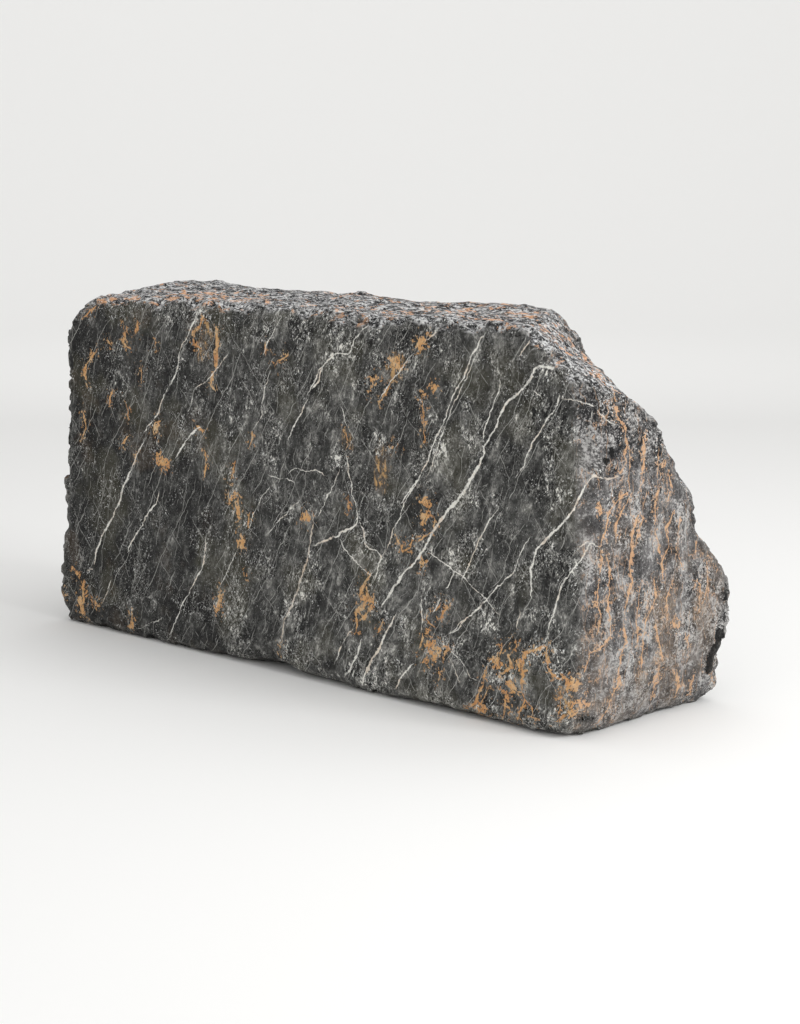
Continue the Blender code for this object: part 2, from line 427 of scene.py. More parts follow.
# Each vein is a width in pixels and the points it runs through, as the camera above sees them.
whiteVeins = [
    # the long one across the upper right
    (3.2, [(559, 362), (553, 369), (541, 366), (534, 369), (530, 380), (526, 384), (520, 392),
           (509, 401), (500, 415), (495, 429), (489, 438), (484, 446), (484, 454)]),
    (4.4, [(484, 452), (478, 468), (472, 477), (464, 492), (448, 511), (434, 529), (425, 547),
           (417, 560), (407, 569), (400, 579), (393, 588), (382, 606)]),
    (4.0, [(532, 376), (525, 386), (517, 395)]),
    (1.8, [(500, 382), (499, 391), (495, 400), (492, 410), (487, 422), (484, 430), (482, 441)]),
    (2.0, [(485, 332), (479, 342), (471, 357), (463, 378), (455, 392), (449, 408), (444, 421),
           (439, 433), (433, 445), (427, 462), (419, 477), (402, 503)]),
    (1.0, [(479, 349), (469, 371), (456, 400), (448, 418), (438, 445), (432, 463), (427, 477)]),
    (2.2, [(568, 379), (561, 394), (555, 409), (547, 420), (541, 430), (532, 443), (527, 457),
           (524, 466), (516, 476)]),
    (1.6, [(530, 342), (524, 349), (518, 357)]),
    (1.4, [(529, 390), (533, 391), (541, 397)]),
    (1.0, [(562, 398), (576, 400), (593, 406), (604, 400)]),
    (1.0, [(593, 410), (590, 427), (589, 434)]),
    (1.0, [(596, 408), (607, 420), (618, 426)]),
    # right of the middle
    (3.2, [(604, 479), (593, 476), (586, 485), (578, 499), (573, 509), (566, 520), (554, 531),
           (547, 539), (540, 545), (534, 558), (531, 568), (531, 597)]),
    (2.6, [(599, 547), (590, 543), (585, 553), (570, 573), (561, 585), (558, 597), (553, 615),
           (548, 631)]),
    (1.2, [(588, 541), (578, 548), (572, 556)]),
    (1.4, [(429, 552), (440, 560), (455, 571), (465, 578), (473, 588), (485, 599), (491, 606),
           (499, 615)]),
    (1.4, [(531, 536), (525, 543), (514, 571), (508, 578), (495, 589), (485, 600), (480, 608),
           (471, 615), (464, 621), (459, 628), (445, 636)]),
    (2.0, [(499, 507), (489, 520), (482, 535), (471, 559), (461, 582)]),
    (1.3, [(455, 572), (450, 582), (446, 590)]),
    (1.2, [(426, 578), (423, 593), (421, 604), (422, 620), (422, 633)]),
    (1.4, [(440, 598), (436, 608), (433, 614)]),
    (1.3, [(520, 613), (516, 627)]),
    (1.2, [(450, 649), (457, 656), (467, 670), (471, 678), (481, 683)]),
    (1.0, [(446, 652), (452, 663), (460, 684)]),
    # the middle of the face
    (2.0, [(373, 322), (362, 330), (355, 338), (349, 354), (339, 353), (328, 359), (319, 371),
           (314, 382), (308, 393)]),
    (1.8, [(308, 399), (302, 412), (293, 427), (288, 441)]),
    (3.2, [(322, 368), (318, 382), (313, 388)]),
    (1.2, [(282, 316), (275, 329), (267, 343), (262, 359)]),
    (1.2, [(270, 371), (265, 388), (261, 407), (262, 417), (251, 431)]),
    (1.8, [(446, 328), (436, 333), (426, 341)]),
    (1.2, [(413, 355), (406, 362), (393, 379), (379, 399)]),
    (1.4, [(341, 408), (345, 421), (353, 437)]),
    (1.4, [(346, 455), (348, 469), (351, 482), (352, 494), (356, 503), (357, 515)]),
    (2.4, [(357, 513), (357, 525), (351, 528), (341, 531), (337, 536), (328, 539), (320, 543),
           (313, 546)]),
    (1.2, [(338, 536), (343, 547), (350, 555), (359, 565), (373, 578)]),
    (2.4, [(360, 523), (364, 530), (365, 544), (369, 548), (377, 550), (382, 557), (378, 566),
           (374, 578)]),
    (1.4, [(383, 555), (390, 542), (394, 527), (400, 518), (404, 503), (410, 492), (419, 480)]),
    (1.8, [(340, 470), (335, 482), (328, 495), (324, 505), (319, 515)]),
    (1.2, [(289, 473), (295, 468), (304, 470), (316, 471), (325, 475)]),
    (1.0, [(268, 474), (279, 480), (286, 479), (295, 482)]),
    (1.0, [(301, 497), (290, 509), (280, 520), (268, 533)]),
    (1.0, [(270, 486), (262, 497), (254, 512), (250, 526), (246, 533)]),
    # the left end of the face
    (1.2, [(239, 547), (228, 572), (221, 584)]),
    (1.8, [(144, 441), (137, 455), (130, 472)]),
    (2.8, [(130, 470), (124, 486), (119, 503), (114, 516), (103, 534), (96, 552), (95, 563)]),
    (1.8, [(159, 492), (156, 503), (145, 517), (142, 526), (134, 537), (127, 552)]),
    (2.4, [(200, 427), (191, 434), (184, 445), (177, 456)]),
    (1.8, [(206, 538), (204, 562), (196, 580), (186, 598), (177, 617), (170, 635)]),
    (1.0, [(113, 576), (102, 604)]),
    (0.9, [(138, 629), (163, 618)]),
    (1.6, [(198, 311), (192, 325), (187, 337), (182, 344), (179, 355)]),
    (2.6, [(179, 355), (177, 372), (171, 383)]),
    (1.3, [(171, 381), (163, 397), (158, 413), (152, 421), (144, 433)]),
    (1.2, [(229, 353), (220, 365), (209, 378), (194, 390), (190, 407), (186, 418)]),
    # along the foot
    (1.4, [(486, 598), (476, 611), (463, 621), (452, 631)]),
    (3.4, [(361, 640), (356, 659), (347, 673), (343, 682)]),
    (3.8, [(396, 615), (384, 636), (380, 649), (372, 659), (365, 673), (361, 687)]),
    (2.6, [(413, 664), (405, 672), (400, 679), (396, 688), (397, 696)]),
    (1.6, [(355, 625), (344, 640), (335, 663)]),
    (1.8, [(88, 572), (92, 569)]),
]
creamVeins = [
    (2.4, [(313, 513), (313, 525), (311, 538), (309, 555), (304, 567), (300, 581), (298, 590)]),
    (2.4, [(298, 588), (292, 604), (286, 617), (283, 621), (282, 642)]),
    (3.0, [(618, 476), (610, 478), (604, 479)]),
    (4.0, [(370, 667), (366, 674)]),
]
goldVeins = [
    # left end of the face
    (11.0, [(217, 328), (217, 345), (216, 356), (216, 368)]),
    (3.0, [(213, 373), (210, 384), (214, 390)]),
    (3.6, [(203, 317), (200, 326), (193, 333), (193, 344), (199, 347)]),
    (3.6, [(124, 326), (125, 336), (123, 343), (130, 348)]),
    (3.0, [(137, 322), (138, 328), (135, 334)]),
    (2.6, [(97, 350), (93, 355), (86, 365), (84, 375), (88, 383)]),
    (1.8, [(108, 340), (110, 345)]),
    (1.8, [(155, 340), (155, 347)]),
    (2.0, [(141, 368), (141, 380)]),
    (1.6, [(113, 390), (109, 400), (110, 407)]),
    (2.0, [(83, 412), (85, 422), (86, 427), (82, 437)]),
    (2.6, [(128, 436), (122, 444)]),
    (1.4, [(125, 402), (128, 410), (128, 418)]),
    (1.8, [(197, 426), (202, 430), (203, 434)]),
    (2.4, [(96, 306), (90, 311), (84, 316)]),
    (2.2, [(120, 294), (110, 297), (104, 300)]),
    (1.6, [(136, 453), (135, 461)]),
    (2.4, [(205, 452), (206, 468), (205, 476)]),
    (2.4, [(238, 497), (239, 518)]),
    (2.0, [(229, 492), (229, 502)]),
    (1.6, [(234, 462), (233, 474), (229, 482)]),
    (2.0, [(250, 514), (248, 526)]),
    (3.0, [(220, 593), (219, 604), (217, 611)]),
    (2.0, [(82, 583), (84, 600), (82, 614), (96, 624)]),
    (2.0, [(64, 592), (66, 606)]),
    (2.4, [(132, 612), (131, 628)]),
    (1.6, [(280, 642), (281, 656)]),
    # middle
    (2.2, [(265, 345), (265, 353)]),
    (2.6, [(288, 353), (285, 357), (278, 361), (275, 366)]),
    (3.0, [(253, 437), (250, 446)]),
    (3.2, [(391, 384), (386, 392), (380, 401)]),
    (1.0, [(422, 400), (423, 420), (425, 443)]),
    (1.8, [(397, 539), (403, 551), (410, 547), (411, 541)]),
    (2.6, [(432, 532), (424, 537), (418, 541)]),
    (2.2, [(346, 432), (348, 443), (347, 448)]),
    (1.6, [(349, 500), (348, 510)]),
    # big ragged one at the foot of the middle
    (3.6, [(370, 574), (362, 588), (360, 596)]),
    (5.0, [(366, 588), (368, 600), (362, 608), (356, 611)]),
    (3.6, [(372, 605), (366, 615), (358, 622)]),
    (2.6, [(356, 612), (358, 622), (356, 632)]),
    (2.4, [(383, 622), (378, 632)]),
    (2.4, [(441, 603), (436, 610)]),
    (2.4, [(428, 613), (426, 619), (434, 626)]),
    (2.6, [(450, 604), (444, 612), (441, 618)]),
    (2.4, [(423, 636), (420, 648)]),
    (2.6, [(448, 646), (444, 655)]),
    (2.4, [(440, 672), (439, 680)]),
    (2.2, [(440, 696), (436, 702)]),
    # the net in the lower corner
    (2.4, [(502, 645), (500, 655)]),
    (2.0, [(492, 662), (486, 667), (484, 678)]),
    (2.2, [(484, 680), (480, 692), (476, 702), (465, 709)]),
    (1.8, [(488, 686), (485, 697), (481, 708)]),
    (2.4, [(515, 638), (517, 647), (508, 655), (512, 666), (505, 673), (499, 675)]),
    (2.6, [(546, 646), (532, 651), (524, 655), (522, 667), (523, 677), (522, 690)]),
    (2.0, [(510, 685), (516, 692), (523, 693)]),
    (2.4, [(522, 693), (525, 703), (519, 714), (517, 722)]),
    (1.8, [(525, 700), (532, 707), (535, 724)]),
    (2.2, [(506, 695), (504, 708), (503, 720)]),
    (1.4, [(503, 706), (510, 709)]),
    (2.6, [(548, 645), (546, 652), (549, 670), (553, 675), (561, 680)]),
    (2.2, [(561, 692), (560, 709), (558, 718)]),
    (2.4, [(556, 721), (564, 717), (570, 713)]),
    (1.8, [(550, 722), (548, 731)]),
]
endVeins = [
    # on the right end, from the corner outwards
    (3.6, [(615, 396), (617, 406), (617, 416), (625, 426), (626, 441)]),
    (5.4, [(626, 438), (628, 447), (625, 455)]),
    (2.4, [(624, 452), (626, 462), (619, 474)]),
    (2.6, [(629, 452), (630, 465), (629, 478), (630, 490)]),
    (2.4, [(630, 490), (616, 502), (608, 516), (605, 531), (601, 546)]),
    (2.6, [(631, 494), (626, 505), (620, 513), (616, 524), (616, 536)]),
    (2.2, [(601, 546), (602, 563), (598, 589), (597, 603), (601, 618), (597, 634)]),
    (2.0, [(606, 553), (610, 573), (608, 606), (611, 623), (611, 636), (603, 646), (590, 654)]),
    (2.0, [(590, 654), (585, 671)]),
    (3.6, [(638, 515), (631, 535), (633, 551)]),
    (4.6, [(633, 545), (630, 568), (632, 583)]),
    (3.0, [(632, 580), (626, 604), (625, 614)]),
    (2.8, [(623, 626), (626, 641), (621, 656), (618, 671)]),
    (4.0, [(619, 672), (618, 688)]),
    (2.4, [(617, 686), (613, 694), (610, 705), (596, 725)]),
    (2.4, [(640, 512), (643, 520), (638, 535), (635, 548)]),
    (3.8, [(646, 434), (643, 444), (644, 462), (642, 476)]),
    (1.4, [(659, 446), (658, 462), (657, 476)]),
    (3.2, [(659, 486), (656, 500), (655, 521)]),
    (4.2, [(655, 532), (658, 543), (660, 554)]),
    (2.4, [(673, 513), (666, 530), (669, 546), (663, 560), (663, 578)]),
    (4.0, [(654, 580), (656, 596)]),
    (2.2, [(656, 596), (646, 619), (643, 639), (641, 671)]),
    (2.6, [(671, 586), (666, 598), (668, 618)]),
    (2.6, [(656, 623), (658, 642), (663, 659)]),
    (3.0, [(696, 541), (695, 555)]),
    (1.6, [(694, 580), (701, 583), (699, 609)]),
    (2.0, [(686, 636), (689, 647)]),
    (3.6, [(659, 668), (655, 682), (652, 696)]),
    (3.4, [(677, 672), (679, 684), (676, 694)]),
    (3.4, [(694, 676), (690, 688), (686, 702)]),
    (2.0, [(641, 403), (643, 409)]),
    (1.6, [(668, 470), (672, 486), (668, 500)]),
    (1.6, [(680, 520), (676, 548), (682, 566)]),
    (1.8, [(706, 560), (708, 584), (704, 600)]),
    (1.6, [(640, 590), (636, 620), (638, 650)]),
]
# Gold patches: a stroke from one point to another and its radius, all in pixels.
goldPatches = [
    (157, 424, 156, 432, 4.0),
    (160, 460, 166, 464, 6.5),
    (240, 541, 241, 544, 5.5),
    (303, 517, 307, 518, 5.0),
    (419, 345, 425, 339, 5.0),
    (395, 448, 396, 449, 2.5),
    (433, 389, 435, 387, 3.5),
    (423, 397, 427, 396, 2.5),
    (371, 388, 376, 378, 3.5),
    (392, 362, 399, 366, 5.5),
    (424, 500, 428, 506, 5.0),
    (424, 517, 430, 519, 4.0),
    (432, 512, 433, 524, 2.2),
    (427, 519, 420, 521, 2.4),
    (424, 562, 421, 566, 3.0),
    (434, 654, 437, 650, 6.0),
    (424, 664, 428, 660, 3.6),
    (430, 645, 433, 640, 3.0),
    (429, 630, 428, 632, 2.4),
    (362, 598, 371, 602, 4.0),
    (496, 662, 500, 666, 5.0),
    (520, 662, 522, 672, 5.0),
    (510, 684, 514, 687, 4.5),
    (504, 694, 509, 697, 3.0),
    (480, 709, 484, 711, 4.0),
    (564, 678, 576, 681, 4.0),
    (568, 686, 577, 689, 4.0),
    (573, 703, 583, 703, 5.0),
    (586, 706, 586, 716, 4.0),
    (578, 711, 570, 713, 3.0),
    (598, 507, 602, 517, 3.0),
    (662, 463, 664, 466, 3.5),
    (672, 623, 678, 625, 4.0),
    (654, 682, 658, 674, 4.0),
    (244, 573, 246, 575, 1.5),
    (82, 586, 86, 594, 2.6),
    (80, 598, 83, 614, 3.6),
    (82, 610, 85, 621, 3.2),
    (92, 601, 98, 606, 2.2),
    (87, 622, 97, 626, 2.2),
    (64, 594, 66, 605, 2.8),
    (72, 569, 77, 573, 2.0),
    (134, 618, 131, 628, 2.6),
    (221, 592, 218, 609, 3.2),
    (237, 505, 240, 517, 3.0),
    (236, 497, 230, 500, 1.6),
]
# Black flakes and holes, the same way.
darkPatches = [
    (721, 635, 715, 651, 7.5),
    (713, 654, 709, 667, 6.0),
    (722, 650, 724, 644, 3.0),
    (726, 593, 726, 597, 2.5),
    (725, 618, 724, 621, 2.0),
    (71, 354, 72, 366, 3.0),
    (589, 386, 595, 387, 2.2),
    (533, 411, 532, 419, 2.0),
    (529, 427, 528, 428, 1.4),
    (527, 487, 528, 498, 0.6),
    (441, 548, 442, 551, 1.4),
    (384, 525, 387, 528, 1.6),
    (655, 404, 657, 411, 1.6),
    (608, 372, 614, 377, 1.6),
    (641, 437, 637, 446, 1.8),
    (612, 452, 606, 462, 2.4),
]
# Tan haze: wide soft strokes.
hazeStrokes = [
    (383, 452, 382, 486, 10.0),
    (345, 436, 347, 446, 6.0),
    (397, 360, 392, 372, 9.0),
    (206, 330, 203, 352, 8.0),
    (662, 610, 668, 690, 20.0),
    (700, 600, 706, 640, 14.0),
    (640, 660, 644, 700, 12.0),
    (560, 700, 600, 706, 8.0),
]

veinRules = {
    "reach": 0.016,  # past this a vein leaves no mark in the mesh
    "layerGap": 0.046,  # veins nearer than this go on different layers
    "sampleStep": 0.012,
    "taper": 0.045,  # a vein thins out over this length, or over a share of its own
    "taperShare": 0.22,
    "tip": 0.25,  # the share of its width that a vein begins with
    "tipCurve": 0.7,
    "widen": 0.74,
    "goldWiden": 1.1,
    "endWiden": 1.15,
    "thinnest": 0.0010,  # half width
    "seam": 0.16,
    "topNormal": 0.72,  # a normal that points up more than this is on top
    "topBlend": 0.14,
    "underNormal": -0.6,
    "facing": 0.2,  # how squarely a picked spot must face the camera's side
    "patchReach": 0.05,
    "softReach": 0.2,
}
# where the back with the left end, and the top, lie on the sheet
groupShift = {"hidden": (20.0, 0.0), "top": (0.0, 20.0)}
kinds = {"white": 0.0, "cream": 0.4, "gold": 1.0}


def unfolded(places, normals):
    # the front and right end lie side by side on one sheet, the back and left end on another
    x, y, z = places.T
    half = -float(cadBox[0].y)
    seen = normals[:, 0] - normals[:, 1]
    top = normals[:, 2] > veinRules["topNormal"]
    sheet = np.stack([x + y + half, z], 1)
    sheet[seen < 0] = np.stack([groupShift["hidden"][0] - x - y, z], 1)[seen < 0]
    sheet[top] = np.stack([x, y + groupShift["top"][1]], 1)[top]
    nearSeam = (abs(seen) < veinRules["seam"]) & ~top
    nearSeam |= abs(normals[:, 2] - veinRules["topNormal"]) < veinRules["topBlend"]
    nearSeam |= normals[:, 2] < veinRules["underNormal"]
    return sheet, nearSeam


def castPoints(tree, picks):
    # where a line of sight through each pixel meets the stone's upright faces
    ahead, right, above = cameraAxes()
    eye = Vector(camera["place"])
    found = []
    for across, down in picks:
        ray = ahead * camera["focal"]
        ray = ray + right * (across - camera["width"] / 2) - above * (down - camera["height"] / 2)
        place, normal, _, distance = tree.ray_cast(eye, ray.normalized())
        if place is None or abs(normal.z) >= veinRules["topNormal"]:
            continue
        if normal.x - normal.y > veinRules["facing"]:
            found.append((place, normal, distance))
    return found


def laidOut(hits):
    # the hits' places on the unfolded sheet; near the top edge they still belong to the upright faces
    normals = np.array([hit[1] for hit in hits])
    normals[:, 2] = 0.0
    return unfolded(np.array([hit[0] for hit in hits]), normals)[0]


def pickedVeins(tree):
    veins = []
    sources = [
        (whiteVeins, kinds["white"], 1.0),
        (creamVeins, kinds["cream"], 1.0),
        (goldVeins, kinds["gold"], veinRules["goldWiden"]),
        (endVeins, kinds["gold"], veinRules["endWiden"]),
    ]
    for source, kind, widen in sources:
        for width, picks in source:
            hits = castPoints(tree, picks)
            if len(hits) < 2:
                continue
            metres = np.mean([hit[2] for hit in hits]) / camera["focal"] * veinRules["widen"]
            half = max(width * widen * metres / 2, veinRules["thinnest"])
            veins.append((laidOut(hits), half, kind))
    return veins


loose = {
    "seed": 7,
    # how many the faces out of the camera's sight get
    "backWhite": 46,
    "backGold": 26,
    "backPatches": 16,
    "topWhite": 16,
    "pastBack": 0.7,  # how far round the left end they reach
    "height": 1.15,
    # lengths and half widths in metres, leans in degrees from the sheet's run
    "white": {"length": (0.12, 0.75), "lean": 122.0, "halves": (0.0014, 0.0018, 0.0026, 0.0042)},
    "gold": {"length": (0.06, 0.22), "lean": 100.0, "half": (0.0022, 0.0062)},
    "leanSpread": 11.0,
    "step": (0.022, 0.05),
    "bend": 17.0,
    "topLean": 20.0,
    "topSpread": 30.0,
    "topLegs": (4, 12),
    "topStep": 0.035,
    "topBend": 20.0,
    "topHalves": (0.0014, 0.002, 0.003),
    "patchRun": 3.0,
    "patchHeight": 1.1,
    "patchSpread": 0.02,
    "patchRadius": (0.008, 0.02),
}


def looseVeins(dice):
    # the same leaning veins, drawn at random on the faces that the picks don't reach
    veins = []
    low, high = cadBox
    run = high.x - low.x + loose["pastBack"]
    for index in range(loose["backWhite"] + loose["backGold"]):
        name = "white" if index < loose["backWhite"] else "gold"
        rule = loose[name]
        # along the sheet, the left end comes after the back
        begin = groupShift["hidden"][0] - high.x
        start = np.array([begin + dice.random() * run, dice.random() * loose["height"]])
        length = dice.uniform(*rule["length"])
        lean = math.radians(dice.normal(rule["lean"], loose["leanSpread"]))
        points = [start]
        while length > 0.0:
            step = dice.uniform(*loose["step"])
            turn = lean + math.radians(dice.normal(0.0, loose["bend"]))
            points.append(points[-1] - step * np.array([math.cos(turn), math.sin(turn)]))
            length -= step
        half = dice.uniform(*rule["half"]) if name == "gold" else dice.choice(rule["halves"])
        veins.append((np.array(points), half, kinds[name]))
    for index in range(loose["topWhite"]):
        across = dice.uniform(low.x, high.x)
        start = np.array([across, groupShift["top"][1] + dice.uniform(low.y, high.y)])
        heading = math.radians(dice.normal(loose["topLean"], loose["topSpread"]))
        points = [start]
        for _ in range(int(dice.integers(*loose["topLegs"]))):
            turn = heading + math.radians(dice.normal(0.0, loose["topBend"]))
            points.append(points[-1] + loose["topStep"] * np.array([math.cos(turn), math.sin(turn)]))
        veins.append((np.array(points), dice.choice(loose["topHalves"]), kinds["white"]))
    return veins


def loosePatches(dice):
    patches = []
    begin = groupShift["hidden"][0] - cadBox[1].x
    for _ in range(loose["backPatches"]):
        across = begin + dice.random() * loose["patchRun"]
        start = np.array([across, dice.random() * loose["patchHeight"]])
        end = start + dice.normal(0.0, loose["patchSpread"], 2)
        patches.append((start, end, dice.uniform(*loose["patchRadius"])))
    return patches


def sampled(points, step):
    # points set evenly along a line
    legs = np.linalg.norm(np.diff(points, axis=0), axis=1)
    way = np.concatenate([[0.0], np.cumsum(legs)])
    spots = np.linspace(0.0, way[-1], max(2, int(way[-1] / step) + 1))
    return np.stack([np.interp(spots, way, points[:, column]) for column in (0, 1)], 1)


def sortedLayers(veins):
    # veins near each other go on different layers, so that each layer has one nearest line
    layers = []
    for vein in sorted(veins, key=lambda vein: -vein[1]):
        dots = sampled(vein[0], veinRules["sampleStep"])
        for layer in layers:
            clear = True
            for _, others in layer:
                if (dots.min(0) > others.max(0) + veinRules["layerGap"]).any():
                    continue
                if (dots.max(0) < others.min(0) - veinRules["layerGap"]).any():
                    continue
                gaps = np.linalg.norm(dots[:, None] - others[None], axis=2)
                if gaps.min() < veinRules["layerGap"]:
                    clear = False
                    break
            if clear:
                layer.append((vein, dots))
                break
        else:
            layers.append([(vein, dots)])
    return [[vein for vein, _ in layer] for layer in layers]


def layerField(sheet, nearSeam, layer):
    # signed distance to the layer's nearest vein, that vein's half width there, and its kind
    count = len(sheet)
    field = np.zeros((count, 3))
    field[:, 0] = 1.0
    nearest = np.full(count, veinRules["reach"])
    for points, half, kind in layer:
        low = points.min(0) - veinRules["reach"]
        high = points.max(0) + veinRules["reach"]
        near = np.nonzero(((sheet > low) & (sheet < high)).all(1))[0]
        if not len(near):
            continue
        spots = sheet[near]
        legs = np.diff(points, axis=0)
        lengths = np.maximum(np.linalg.norm(legs, axis=1), 1e-6)
        way = np.concatenate([[0.0], np.cumsum(lengths)])
        offset = spots[:, None] - points[None, :-1]
        share = np.clip((offset * legs).sum(2) / lengths**2, 0.0, 1.0)
        gap = offset - share[..., None] * legs
        distance = np.linalg.norm(gap, axis=2)
        best = distance.argmin(1)
        row = np.arange(len(near))
        closest = distance[row, best]
        side = np.sign(legs[best, 0] * offset[row, best, 1] - legs[best, 1] * offset[row, best, 0])
        along = way[best] + share[row, best] * lengths[best]
        ends = np.minimum(along, way[-1] - along)
        taper = min(veinRules["taper"], way[-1] * veinRules["taperShare"])
        width = half * np.clip(ends / taper + veinRules["tip"], 0.0, 1.0) ** veinRules["tipCurve"]
        better = closest < nearest[near]
        chosen = near[better]
        nearest[chosen] = closest[better]
        field[chosen, 0] = (closest * side)[better]
        field[chosen, 1] = width[better]
        field[chosen, 2] = kind
    field[nearSeam, 1] = 0.0
    return field


def strokeField(sheet, strokes, farthest):
    # distance outside the nearest of some fat strokes, below zero inside them
    field = np.full(len(sheet), farthest)
    for start, end, radius in strokes:
        leg = end - start
        share = np.clip(((sheet - start) @ leg) / max(leg @ leg, 1e-9), 0.0, 1.0)
        gap = np.linalg.norm(sheet - start - share[:, None] * leg, axis=1) - radius
        field = np.minimum(field, gap)
    return field


def castStrokes(tree, strokes):
    found = []
    for x0, y0, x1, y1, radius in strokes:
        hits = castPoints(tree, [(x0, y0), (x1, y1)])
        if hits:
            sheet = laidOut(hits)
            found.append((sheet[0], sheet[-1], radius * hits[0][2] / camera["focal"]))
    return found


def readVectors(vertices, name):
    values = np.empty(len(vertices) * 3, np.float32)
    vertices.foreach_get(name, values)
    return values.reshape(-1, 3).astype(float)


def writeValues(mesh, name, values):
    # one number, or three, for each vertex
    kind, slot = ("FLOAT", "value") if values.ndim == 1 else ("FLOAT_VECTOR", "vector")
    attribute = mesh.attributes.new(name, kind, "POINT")
    attribute.data.foreach_set(slot, values.astype(np.float32).ravel())


def writeVeins(piece):
    mesh = piece.data
    places = readVectors(mesh.vertices, "co")
    normals = readVectors(mesh.vertices, "normal")
    faces = [tuple(polygon.vertices) for polygon in mesh.polygons]
    tree = BVHTree.FromPolygons([tuple(place) for place in places], faces)
    sheet, nearSeam = unfolded(places, normals)
    dice = np.random.default_rng(loose["seed"])
    veins = pickedVeins(tree) + looseVeins(dice)
    layers = sortedLayers(veins)
    for index, layer in enumerate(layers):
        writeValues(mesh, "vein%d" % index, layerField(sheet, nearSeam, layer))
    patches = castStrokes(tree, goldPatches) + loosePatches(dice)
    golden = []
    for points, _, kind in veins:
        if kind == kinds["gold"]:
            golden += [(start, end, 0.0) for start, end in zip(points, points[1:])]
    writeValues(mesh, "goldNear", strokeField(sheet, golden + patches, veinRules["softReach"]))
    writeValues(mesh, "sheet", np.column_stack([sheet, ~nearSeam]))
    writeValues(mesh, "goldPatch", strokeField(sheet, patches, veinRules["patchReach"]))
    holes = castStrokes(tree, darkPatches)
    writeValues(mesh, "darkPatch", strokeField(sheet, holes, veinRules["patchReach"]))
    haze = castStrokes(tree, hazeStrokes)
    writeValues(mesh, "tanHaze", strokeField(sheet, haze, veinRules["softReach"]))
    return len(layers)


marble = {
    # colours as a screen shows them, 0 to 255
    "colours": {
        "soot": (16, 16, 17),
        "deepGrey": (56, 56, 55),
        "grey": (92, 92, 90),
        "ash": (138, 137, 133),
        "paleGrey": (186, 185, 180),
        "olive": (112, 108, 84),
        "brown": (104, 84, 62),
        "chalk": (238, 236, 229),
        "white": (250, 250, 248),
        "cream": (222, 202, 168),
        "gold": (218, 168, 112),
        "rust": (198, 134, 86),
        "endDark": (34, 34, 36),
        "endGrey": (110, 108, 108),
        "endPale": (194, 192, 190),
        "peach": (226, 184, 148),
        "tan": (150, 130, 110),
        "sand": (204, 164, 112),
        # the top's dark flakes, and also the painted shadow between them
        "topDarkAndShadow": (28, 28, 31),
        "topGrey": (122, 122, 123),
        "topPale": (220, 220, 220),
        "topPink": (236, 180, 136),
    },
    "grainLean": 14.0,  # degrees from upright, towards the right end
    "veinLean": 33.0,
    "fleckLean": 25.0,
    "warp": 0.03,  # metres that the grain is pushed about by
    # noise scales, from slow to fine
    "cloudScale": 2.6,
    "busyScale": 9.0,
    "mottleScale": 24.0,
    "clusterScale": 26.0,
    "raggedScale": 42.0,
    "gritScale": 48.0,
    "pitScale": 70.0,
    "grainScale": 80.0,
    "flameScale": 95.0,
    "fineScale": 210.0,
    "fleckScale": 210.0,
    "rimHeights": (1.06, 1.15),  # the paler band under the top edge
    "shoulderHeights": (0.72, 1.02),  # where the right end turns darker and more broken
    "bruises": 0.20,
    "roughness": 0.66,
    "specular": 0.2,
    "bumpStrength": 0.6,
    "bumpDistance": 0.006,
}


def linear(name):
    made = []
    for value in marble["colours"][name]:
        share = value / 255.0
        made.append(share / 12.92 if share <= 0.04045 else ((share + 0.055) / 1.055) ** 2.4)
    return tuple(made)


def colour(name):
    return (*linear(name), 1.0)


def toned(tone, names, places=None):
    # a ramp through these colours, evenly from 0 to 1 unless their places are given
    places = places or [index / (len(names) - 1) for index in range(len(names))]
    stops = [(spot, linear(name)) for spot, name in zip(places, names)]
    return tone.node("ShaderNodeValToRGB", {"stops": stops}, {0: tone})


def centred(wire):
    return wire - 0.5


def threads(flat, lean, perMetre, cover, breaks):
    # long wavy hairlines that lean one way: one line to a strip, broken into lengths by noise
    turned = flat.turned((0, 0, -lean), (1.0, 1.0, 1.0))
    row = turned.axis("X") * perMetre
    strip = row.maths("FLOOR", row)
    dice = strip.node("ShaderNodeTexWhiteNoise", {"noise_dimensions": "1D"}, {"W": strip}, "Value")
    gap = abs(row - strip - dice * 0.6 - 0.2) * (1.0 / perMetre)
    spot = strip.node("ShaderNodeCombineXYZ", None, {0: dice * 90.0, 1: turned.axis("Y") * breaks})
    lengths = spot.noise(1.0, 3.0, 0.6)
    broken = lengths.ease(0.62 - cover, 0.68 - cover)
    return gap.ease(0.0014, 0.0005) * broken


def hairlines(flat, rules):
    # several sets of threads; the strongest shows
    lines = None
    for lean, perMetre, cover, breaks, strength in rules:
        one = threads(flat, lean, perMetre, cover, breaks) * strength
        lines = one if lines is None else lines.most(one)
    return lines


def strokes(place, scale, levels, breaks):
    # short curved scratches that run side by side: pieces of the contour lines of noise
    contours = abs((place.noise(scale, 3.0, 0.55) * levels).part() - 0.5)
    return contours.ease(0.12, 0.06) * place.noise(breaks, 2.0, 0.5).ease(0.48, 0.56)


